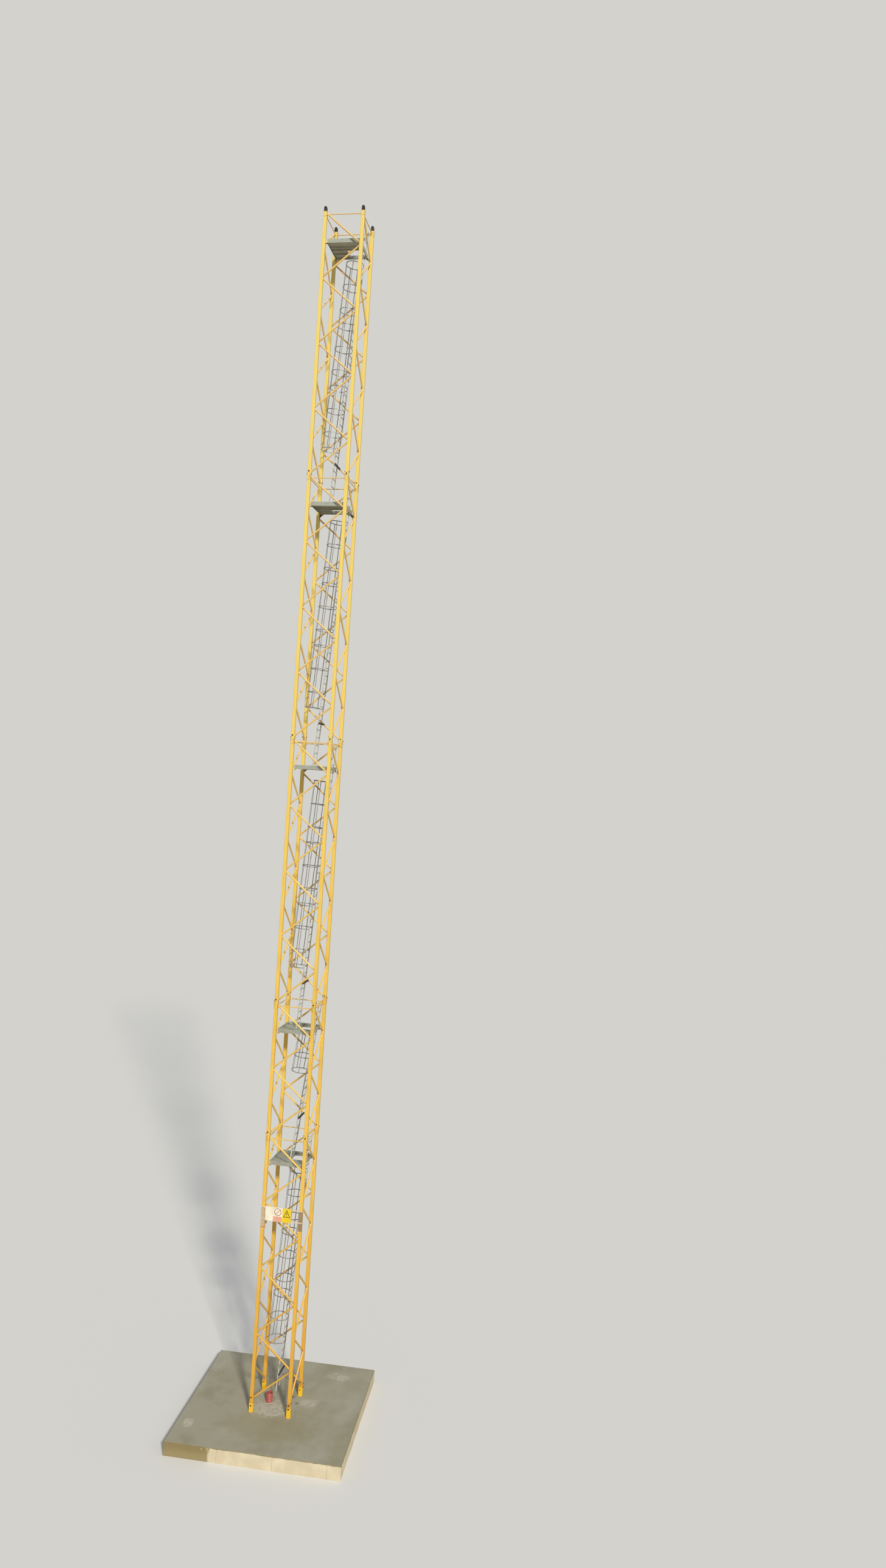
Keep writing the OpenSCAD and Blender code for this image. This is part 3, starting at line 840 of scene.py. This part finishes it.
FILLET = [(0.0, -0.0035), (0.0018, -0.0030), (0.0034, -0.0008), (0.0037, 0.0),
          (0.0, 0.0)]
LIP = [(-0.0005, -0.0025), (0.0016, -0.0018), (0.0022, 0.0), (0.0016, 0.0018),
       (-0.0005, 0.0025)]
piece("collar_welds", [bands(LEG_W, at_legs(TOPS - COLLAR_H), FILLET)],
      paint)
piece("seat_rims", [bands(COLLAR_W, at_legs(TOPS - 0.004), LIP),
                    bands(LEG_W, at_legs(JOINTS[1:] + 0.006), LIP)],
      paint)
piece("foot_rims", [bands(FOOT_W, at_legs([FOOT_TOP - 0.004]), LIP),
                    bands(FOOT_W, at_legs([BLOCK_TOP + 0.012]), LIP)],
      feet_paint)

# %% [markdown]
# The pins of one leg are turned with the leg, a quarter turn from leg to
# leg. A boss is a turned ring; a clip is a thin wire ring through the pin's
# end, which is a small circle turned round the pin.

# %% Bosses and clips
CLIP_OUT = 0.0095        # from a tube's face to the clip in the pin's end
BOSS = [(0.0104, 0.0), (0.0185, 0.0), (0.0185, 0.003), (0.0165, 0.0045),
        (0.0104, 0.0045)]


def pin_ends(low, high, side):
    """Where the pins at the low and the high heights come out of the legs'
    tubes, and which way."""
    spots, ways = [], []
    for k, (x, y) in enumerate(LEGS):
        for heights, way in zip((low, high), ((X, Y), (Y, X))[k % 2]):
            for s in (-1, 1):
                spots.append(xyz(x, y, heights) + s * way * side / 2)
                ways.append(np.tile(s * way, (len(heights), 1)))
    return np.concatenate(spots), np.concatenate(ways)


spots, ways = pin_ends(JOINTS + PIN_LOW, JOINTS + PIN_HIGH, LEG_W)
foot_spots, foot_ways = pin_ends([FOOT_TOP - PIN_LOW],
                                 [FOOT_TOP - PIN_HIGH], FOOT_W)
piece("pin_bosses", [turned(spots, ways, BOSS, 20, closed=True)], paint)
piece("foot_bosses", [turned(foot_spots, foot_ways, BOSS, 20, closed=True)],
      feet_paint)
clip_at = np.concatenate([spots, foot_spots])
clip_way = np.concatenate([ways, foot_ways])
plain = clip_way.sum(1) > 0                # the end with no head
clip_at, clip_way = clip_at[plain], clip_way[plain]
piece("pin_clips", [turned(
    clip_at + CLIP_OUT * clip_way, clip_way, circle(0.0118, 0, 0.0016, 6), 20,
    closed=True)], zinc)

# %% [markdown]
# ## Platforms
# The deck is chequer plate: rows of raised almond-shaped lugs, each row
# turned against the next, which grip a boot. Each lug is a low dome over a
# long ellipse, and hundreds of them are one array per deck. The hatch has a
# flat rim, the corners have bolts, and the toe boards have rivets.

# %% Chequer plate
def lugs(deck_z, plate=0.606, pitch=0.026, length=0.0095, width=0.0032,
         height=0.0011):
    """Domes on a square lattice of the pitch, clear of the hatch. For the
    angle a: centre + k (length cos a, width sin a), turned by 45 degrees
    one way or the other, at k = 1 and at k = 0.45 with the full height."""
    n = int(plate / pitch)
    i, j = np.indices((n, n)).reshape(2, -1)
    x, y = (i - (n - 1) / 2) * pitch, (j - (n - 1) / 2) * pitch
    turn = np.where((i + j) % 2 == 0, 1.0, -1.0)
    x0, x1, y0, y1 = HATCH
    clear = ~((x > x0 - pitch) & (x < x1 + pitch)
              & (y > y0 - pitch) & (y < y1 + pitch))
    x, y, turn = (v[clear, None, None] for v in (x, y, turn))
    k = np.array([1.0, 1.0, 0.45])[:, None]
    long, wide = k * length * np.cos(angles(6)), k * width * np.sin(angles(6))
    up = np.array([-0.0004, 0.0002, height])[:, None]
    c = math.sqrt(0.5)
    return rings(xyz(x + c * (long - turn * wide),
                     y + c * (turn * long + wide), deck_z + up))


def hatch_rim(deck_z, w=0.012, t=0.003):
    """A flat bar of width w and thickness t round the hatch."""
    x0, x1, y0, y1 = HATCH
    low = [(x0 - w, y0 - w, deck_z), (x0 - w, y1, deck_z),
           (x0 - w, y0, deck_z), (x1, y0, deck_z)]
    high = [(x1 + w, y0, deck_z + t), (x1 + w, y1 + w, deck_z + t),
            (x0, y1, deck_z + t), (x1 + w, y1, deck_z + t)]
    return block(low, high)


for section, deck in DECKS.items():
    piece(f"{section}_chequer", [lugs(deck), hatch_rim(deck)], zinc)

# %% [markdown]
# Bolts hold each platform to the lugs on the legs, from above, with a nut
# below. Rivets run along the toe boards. Both are turned profiles.

# %% Platform bolts and rivets
def around(x, y, z):
    """Every point with its coordinates from the lists x, y and z."""
    return np.stack(np.meshgrid(x, y, z, indexing="ij"), -1).reshape(-1, 3)


NUT_DROP = 0.0428        # from the deck to the underside of a leg's lug
RIVET_UP = 0.024         # from the deck to the rivets of a toe board
corner = DECK_W / 2 - 0.012
levels = np.array(list(DECKS.values()))
bolt_at = np.concatenate([around((-corner, corner), (-corner, corner), z)
                          for z in levels])
piece("platform_bolts", [turned(bolt_at, Z, BOLT, 6),
                         turned(bolt_at - NUT_DROP * Z, -Z, BOLT, 6)],
      dark)
front = xyz(np.linspace(-0.27, 0.27, 7), -DECK_W / 2,
            levels[:, None] + RIVET_UP).reshape(-1, 3)
rivet_at, rivet_out = (np.concatenate([
    quarter(np.broadcast_to(v, front.shape), k) for k in range(4)])
    for v in (front, -Y))
piece("toe_board_rivets", [turned(rivet_at, rivet_out, RIVET, 10)], zinc)

# %% [markdown]
# Under the platform of the middle section a curved plate stands out from
# each back leg. Its outline is a square corner whose lower side is a hollow
# quarter circle. The same outline on two planes, with a wall between them,
# makes the plate.

# %% Corner brackets
def brackets(deck_z, under=0.032, inset=0.005, wide=0.095, tall=0.105,
             thick=0.004, n=12):
    """Plates in planes of constant y, from the inner face of each back leg:
    the outline's hollow side is corner + (wide (1 - sin a), -tall (1 - cos
    a)) for a from 0 to a quarter turn."""
    a = np.linspace(np.pi / 2, 0, n)
    x = np.r_[0.0, wide * (1 - np.sin(a))]
    z = np.r_[0.0, -tall * (1 - np.cos(a))] + deck_z - under
    face = HALF - LEG_W / 2
    y = face + inset - thick * np.array([[0.0], [1.0]])
    return rings(np.stack([xyz(face - x, y, z), xyz(x - face, y, z)[:, ::-1]]))


piece("corner_brackets", [brackets(DECKS["middle"])], dark,
      smooth=False)

# %% [markdown]
# ## Ladders and cages
# A rung is pushed through its stiles and flared on the outside. The cage is
# riveted at every crossing of a hoop and a strip. Both follow the ladder's
# lean, so they are worked out in the ladder's own frame, and one matrix
# takes them to the mast's frame.

# %% Ladder frames
RUNG_PITCH, HOOP_R, STRIPS = 0.150, 0.175, 5
PAST = 0.44              # the rungs go on this far over the deck
STEPS = np.cumsum([0] + [3, 3, 2] * 4)       # rungs from hoop to hoop
FLARE = [(0.0035, 0.0), (0.0072, 0.0), (0.0072, 0.0010), (0.0060, 0.0022),
         (0.0035, 0.0022)]


def leaning(section):
    """The ladder's foot, its leaning axes as rows, and its length."""
    x0, z0, z1 = LADDERS[section]
    angle = math.atan((LADDER_TOP_X - x0) / (z1 - z0))
    along = np.array([math.sin(angle), 0, math.cos(angle)])
    out = np.array([math.cos(angle), 0, -math.sin(angle)])
    return (np.array([x0, LADDER_Y, z0]), np.stack([out, Y, along]),
            (z1 - z0) / math.cos(angle))


ends, rivets, tabs = ([], []), ([], []), ([], [])     # places, directions
middle = math.sqrt(HOOP_R ** 2 - (LADDER_W / 2) ** 2)
open_half = math.degrees(math.acos((middle - SEAT) / HOOP_R))
turn = np.radians(180 + (np.arange(STRIPS) - (STRIPS - 1) / 2)
                  * (360 - 2 * open_half) / (STRIPS + 1))
ring = xyz(np.cos(turn), np.sin(turn), 0)
for section, (phase, hoops, drop) in HOOPS.items():
    foot, axes, length = leaning(section)
    rungs = np.arange(RUNG_PITCH, length + PAST, RUNG_PITCH)
    high = length - drop - RUNG_PITCH * (
        STEPS[phase:phase + hoops] - STEPS[phase])
    hoop_at = (HOOP_R * ring + (-STILE_D / 2 - middle) * X
               + Z * high[:, None, None])
    found = [(rivets, hoop_at, ring)]
    for s in (-1, 1):
        found += [(ends, xyz(0, s * LADDER_W / 2, rungs), s * Y),
                  (tabs, xyz(-STILE_D / 2 - 0.004,
                             s * (LADDER_W / 2 + 0.0015), high), s * Y)]
    for store, local, way in found:
        way = np.broadcast_to(way, local.shape)
        store[0].append(foot + local.reshape(-1, 3) @ axes)
        store[1].append(way.reshape(-1, 3) @ axes)
for name, store, outline, sides, finished, slot in (
        ("rung_ends", ends, FLARE, 12, ladder_zinc, "galvanised_steel"),
        ("hoop_rivets", rivets, RIVET, 8, cage_zinc, "cage_steel"),
        ("hoop_bolts", tabs, small_bolt(0.6), 6, dark, "dark_steel")):
    places, ways = (np.concatenate(v) for v in store)
    piece(name, [turned(places, ways, outline, sides)], finished)

# %% [markdown]
# ## The board
# Two pale rails are clamped across the front legs, and a board is screwed
# to them. It has three plain fields: white; white with a red ring and bar
# over a pink plate; and yellow with a dark triangle. There is no writing.
# Each field is a thin plate, and the ring and the triangle are outlines
# carried round a path.

# %% Board fields
RAIL_FRONT = -HALF - LEG_W / 2 - SEAT - 0.012
BOARD_FRONT = RAIL_FRONT - SEAT - 0.003
BOARD_X, BOARD_Z = -0.319, FOOT_TOP + 3.424
BOARD_H = 0.265
RAIL_H, RAIL_STEP = 0.022, 0.214     # a rail's height, and rail to rail
SHEET = 0.0008           # thickness of a field
FIELDS = [               # x from, to, z from, to on the board, and its lift
    ("board_white", [(0.0015, 0.1575, 0.0015, 0.2635, 0.0),
                     (0.1585, 0.3395, 0.0015, 0.2635, 0.0)], sign_white),
    ("board_yellow", [(0.3405, 0.5055, 0.0015, 0.2635, 0.0)], sign_yellow),
    ("board_pink", [(0.162, 0.336, 0.006, 0.098, SHEET)], sign_pink)]


def field(x0, x1, z0, z1, lift):
    """A thin plate on the board's front, between two x and two heights."""
    front = BOARD_FRONT - lift
    return block([(BOARD_X + x0, front - SHEET, BOARD_Z + z0)],
                 [(BOARD_X + x1, front, BOARD_Z + z1)])


def carried(points, width, thick=0.0007):
    """A flat strip of the width along a closed line of (x, z) points, on a
    field. At a corner the strip widens by the mitre."""
    p = np.asarray(points, float)
    n1, n2 = (unit(np.stack([d[:, 1], -d[:, 0]], -1))
              for d in (np.roll(p, -1, 0) - p, p - np.roll(p, 1, 0)))
    n = (n1 + n2) / (1 + (n1 * n2).sum(1, keepdims=True))
    point = xyz(BOARD_X + p[:, 0], BOARD_FRONT - SHEET, BOARD_Z + p[:, 1])
    w = width / 2
    return looped(point[None], xyz(n[:, 0], 0, n[:, 1]), -Y,
                  [(-w, 0), (w, 0), (w, thick), (-w, thick)])


ring_at = np.array([0.249, 0.182])
along = math.sqrt(0.5) * np.array([1, 1])        # the bar lies at 45 degrees
aside = math.sqrt(0.5) * np.array([-1, 1])
bar = [ring_at + p * 0.060 * along + q * 0.0045 / 2 * aside
       for p, q in ((-1, -1), (1, -1), (1, 1), (-1, 1))]
triangle = [(0.423, 0.232), (0.4835, 0.105), (0.3625, 0.105)]
stroke = [(0.4175, 0.190), (0.4285, 0.190), (0.4265, 0.150), (0.4195, 0.150)]
made = [(name, [field(*f) for f in fields], tone)
        for name, fields, tone in FIELDS] + [
    ("board_ring", [carried(circle(*ring_at, 0.0635, 48, -1), 0.010),
                    carried(bar, 0.0045)], sign_red),
    ("board_triangle", [carried(triangle, 0.010),
                        carried(circle(0.423, 0.128, 0.0035, 16, -1),
                                0.0065),
                        carried(stroke, 0.006)], sign_black)]
for name, shapes, tone in made:
    piece(name, shapes, tone, smooth=False)

# %% [markdown]
# The board's frame also has a pale channel on each front leg, held by the
# rails, and a strap at the foot of the left one. A channel is a U outline
# pulled up along the leg.

# %% Rail posts and screws
def channel(x, z0, z1, depth=0.030, thick=0.0025):
    """A U outline round the front of a leg, pulled up from z0 to z1."""
    w = LEG_W / 2 + SEAT
    y = -HALF - w
    outer, back = w + thick, y + depth
    line = np.array([(-outer, back), (-outer, y - thick), (outer, y - thick),
                     (outer, back), (w, back), (w, y), (-w, y), (-w, back)])
    pts = xyz(line[:, 0] + x, line[:, 1], [[z0], [z1]])
    cap = np.array([[0, 7, 6, 1], [1, 6, 5, 2], [2, 5, 4, 3]])
    caps = [cap, 8 + np.roll(cap[:, ::-1], 1, 1)]
    return pts.reshape(1, 16, 3), grid_faces(2, 8), caps


POST_FOOT, STRAP_Z = 3.757, 3.748    # heights over the ground
low_rail = BOARD_Z + (BOARD_H - RAIL_STEP - RAIL_H) / 2
high_rail = low_rail + RAIL_STEP
spans = [(POST_FOOT, low_rail - 0.001),
         (low_rail + RAIL_H + 0.001, high_rail - 0.001)]
for side, x, tone in (("left", -HALF, post_left), ("right", HALF, post_right)):
    piece(f"rail_posts_{side}", [channel(x, a, b) for a, b in spans], tone,
          smooth=False)
piece("post_strap", [bands(
    LEG_W + 2 * SEAT, [(-HALF, -HALF, STRAP_Z)],
    [(0, -0.006), (0.002, -0.006), (0.002, 0.006), (0, 0.006)])],
    strap_red)
mid_rails = np.array([low_rail, high_rail]) + RAIL_H / 2
screws = around(BOARD_X + np.array([0.012, 0.165, 0.335, 0.495]),
                [BOARD_FRONT - SHEET], mid_rails)
ends = around([-HALF, HALF], [RAIL_FRONT], mid_rails)
piece("board_screws", [turned(screws, -Y, RIVET, 12),
                       turned(ends, -Y, small_bolt(0.8), 6)],
      zinc)

# %% [markdown]
# ## The duct
# A corrugated conduit has round waves, not the straight steps of the CAD.
# It is one closed surface of revolution: up the outside along a wave, over
# the lip and down the smooth bore.

# %% Ribbed duct
DUCT = np.array([-0.145, 0.020])
DUCT_R, RIB, WALL, RIBS = 0.064, 0.006, 0.005, 14
duct_low, duct_top = BLOCK_TOP - 0.150 + SEAT, BLOCK_TOP + 0.170
bore = DUCT_R - RIB - WALL
t = np.linspace(0, 1, RIBS * 10 + 1)
wave = 0.5 - 0.5 * np.cos(2 * np.pi * RIBS * t)
outer = np.stack([DUCT_R - RIB + RIB * wave ** 0.6,
                  duct_low + t * (duct_top - duct_low)], -1)
lip = [(DUCT_R - RIB - 0.001, duct_top), (bore + 0.001, duct_top)]
t = np.linspace(1, 0, 24)
inner = np.stack([0 * t + bore, duct_low + t * (duct_top - duct_low)], -1)
duct = piece("duct_wall", [turned(
    [(*DUCT, 0.0)], Z, np.concatenate([outer, lip, inner]), 72, closed=True)],
    red_plastic)
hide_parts("cable_duct")

# %% [markdown]
# ## Mortar crust and wire
# Mortar was spilt and trodden in the middle of the block. It is a thin
# dome with a ragged rim: radius and height are sums of a few waves round
# the centre. A bent wire ring lies round the duct's foot.

# %% Mortar patches
# x, y, half widths, height, seed
PATCHES = [(-0.255, -0.205, 0.080, 0.175, 0.0030, 3),
           (0.035, -0.350, 0.150, 0.060, 0.0024, 5),
           (0.195, -0.245, 0.085, 0.080, 0.0022, 8),
           (0.605, 0.135, 0.120, 0.090, 0.0016, 13),
           (0.985, 1.150, 0.150, 0.100, 0.0014, 21),
           (-1.400, -0.960, 0.050, 0.090, 0.0018, 34)]


def crust(x, y, rx, ry, height, seed, n=40, m=72):
    """For the angle a and the share k from rim to middle: centre + k * R(a)
    (rx cos a, ry sin a), with R a sum of seeded waves, and height times a
    bumpy dome that is zero at the rim."""
    rng = np.random.default_rng(seed)
    phase, strong = rng.uniform(0, 2 * np.pi, 9), rng.uniform(0.4, 1.0, 9)
    a = angles(m)
    waves = sum(strong[i] * np.cos((i + 2) * a + phase[i]) / (i + 2)
                for i in range(9))
    rim = 1 + 0.22 * waves
    k = np.linspace(1, 0.02, n)[:, None]
    px = x + k * rx * rim * np.cos(a)
    py = y + k * ry * rim * np.sin(a)
    bumps = sum(np.sin(px * f + p) * np.sin(py * f * 1.3 + q) for f, p, q in
                ((23, 1.1, 0.3), (41, 2.7, 1.9), (77, 0.2, 4.1)))
    dome = np.minimum(1.0, (1 - k) * 5.0) * (0.75 + 0.22 * bumps)
    top = xyz(px, py, BLOCK_TOP + height * np.maximum(dome, 0.0) - 0.0003)
    base = xyz(px[:1], py[:1], BLOCK_TOP - 0.001)
    return rings(np.concatenate([base, top])[None])


piece("mortar_patches", [crust(*patch) for patch in PATCHES], mortar)

# %% [markdown]
# The wire is a closed bent line round the duct with a round section carried
# along it. It leans on the ladder's foot at the back right.

# %% Wire ring
a = angles(64)
radius = 0.098 + 0.014 * np.cos(2 * a - 1.0) + 0.005 * np.cos(3 * a)
lift = 0.010 + 0.050 * np.clip(np.cos(a - 0.9), 0, 1) ** 2
outwards = xyz(np.cos(a), np.sin(a), 0)
line = xyz(*DUCT, BLOCK_TOP + lift - 0.004) + radius[:, None] * outwards
piece("duct_wire_ring", [looped(
    line[None], outwards, Z, circle(0, 0, 0.0045, 8))], zinc)

# %% [markdown]
# ## Floor, backdrop and light
# The studio is plain: a pale floor that takes the shadow, a pale world, and
# one broad sun from the front right, where the real one stood. The world
# fills the shade. Light and world together give back about the colour that
# is written in a material.
#
# A pale floor would light every underside too much. So the floor is pale to
# the camera only, which a Light Path node tells, and throws back less.

# %% Studio
PALE = (0.771, 0.763, 0.736, 1)          # what the camera sees
BOUNCE = (0.52, 0.46, 0.39, 1)           # what lights the mast from below
a = angles(64)
# rings so wide that the rim is lost in the pale world
r = np.array([0.001, 5.0, 30.0, 200.0, 900.0])[:, None]
floor = mesh_object(
    "studio_floor", xyz(r * np.cos(a), r * np.sin(a), -0.0005),
    grid_faces(5, 64)[:, ::-1].tolist() + [list(range(64))])
floor_finish = bpy.data.materials.new("studio_floor")
floor_finish.use_nodes = True
tree = floor_finish.node_tree
shader = tree.nodes["Principled BSDF"]
seen = result(tree, "LightPath", out="Is Camera Ray")
for key, value in (("Base Color", blend(seen, BOUNCE, PALE)),
                   ("Roughness", 0.9), ("Specular IOR Level", 0.0)):
    feed(shader.inputs[key], value)
floor.data.materials.append(floor_finish)

world = bpy.data.worlds.new("studio")
scene.world = world
world.use_nodes = True
tree = world.node_tree
tree.nodes.clear()
ray = put(tree, "LightPath").outputs
seen = maths("MAXIMUM", Value(ray["Is Camera Ray"]),
             Value(ray["Is Transmission Ray"]))
fill = result(tree, "Background", {"Color": (0.86, 0.92, 1.0, 1),
                                   "Strength": 0.41})
backdrop = result(tree, "Background", {"Color": (0.653, 0.646, 0.614, 1),
                                       "Strength": 1.0})
mix = result(tree, "MixShader", {0: seen, 1: fill, 2: backdrop})
put(tree, "OutputWorld", {"Surface": mix})

sun = linked("sun", bpy.data.lights.new("sun", "SUN"))
sun.data.energy = 2.85
sun.data.angle = math.radians(6)
sun.data.color = (1.0, 0.95, 0.86)
low = math.radians(33)
towards = Vector((0.48 * math.cos(low), -0.877 * math.cos(low),
                  math.sin(low)))
sun.rotation_euler = towards.to_track_quat("Z", "Y").to_euler()
scene.view_settings.view_transform = "Standard"
print("studio ready")
